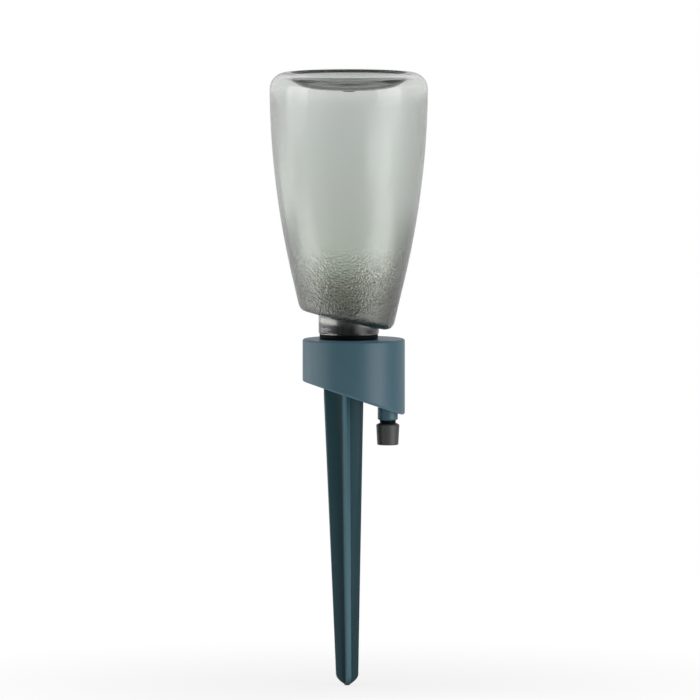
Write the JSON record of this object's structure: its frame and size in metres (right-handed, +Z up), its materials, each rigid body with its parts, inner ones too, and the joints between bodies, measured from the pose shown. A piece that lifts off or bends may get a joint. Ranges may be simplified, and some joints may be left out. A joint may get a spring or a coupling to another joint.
{
  "type": "watering globe",
  "caption": "Upturned smoky bottle screwed into a slanted drip collar with a turning valve knob, held in the soil by a cross-shaped spike.",
  "frame": {"origin": "level of the spike's tip, on the bottle's axis, which is the middle of the object's box seen from above", "axes": "+Z up from the spike's tip to the bottle's foot, +X towards the drip nozzle, +Y away from the picture's camera"},
  "size_m": [0.085, 0.085, 0.33],
  "materials": {
    "smoke_plastic": "smoky translucent blown plastic, smooth at the foot and hammered towards the shoulder",
    "black_rubber": "soft black, satin",
    "black_plastic": "black moulded plastic, satin",
    "collar_plastic": "blue-grey moulded plastic, satin",
    "spike_plastic": "dark blue-grey moulded plastic, satin",
    "knob_plastic": "charcoal moulded plastic, smooth, satin"
  },
  "bodies": {
    "base": {"collar": "collar_plastic", "socket_deck": "collar_plastic", "deck_seal": "black_rubber", "inlet_strainer": "black_plastic", "spike": "spike_plastic", "valve_stem": "black_plastic"},
    "neck_ring": {"neck_gasket": "black_rubber"},
    "bottle": {"bottle": "smoke_plastic"},
    "plug": {"vent_plug": "black_rubber"},
    "knob_ring": {"knob_seal": "black_rubber"},
    "knob": {"drip_knob": "knob_plastic"}
  },
  "joints": [
    {"name": "bottle_rise", "type": "slide", "parent": "base", "child": "neck_ring", "axis": [0, 0, 1], "range_m": [0, 0.012]},
    {"name": "bottle_turn", "type": "hinge", "parent": "neck_ring", "child": "bottle", "pos_m": [0, 0, 0.175], "axis": [0, 0, 1], "range_deg": [0, 1080]},
    {"name": "plug_pull", "type": "slide", "parent": "bottle", "child": "plug", "axis": [0, 0, 1], "range_m": [0, 0.008]},
    {"name": "knob_travel", "type": "slide", "parent": "base", "child": "knob_ring", "axis": [0, 0, -1], "range_m": [0, 0.0045]},
    {"name": "knob_turn", "type": "hinge", "parent": "knob_ring", "child": "knob", "pos_m": [0.0213, 0, 0.135], "axis": [0, 0, -1], "range_deg": [0, 1080]}
  ],
  "couplings": [
    {"joint": "bottle_rise", "follows": "bottle_turn", "m_per_rad": 0.00063661},
    {"joint": "knob_turn", "follows": "knob_travel", "rad_per_m": 4188.8}
  ]
}
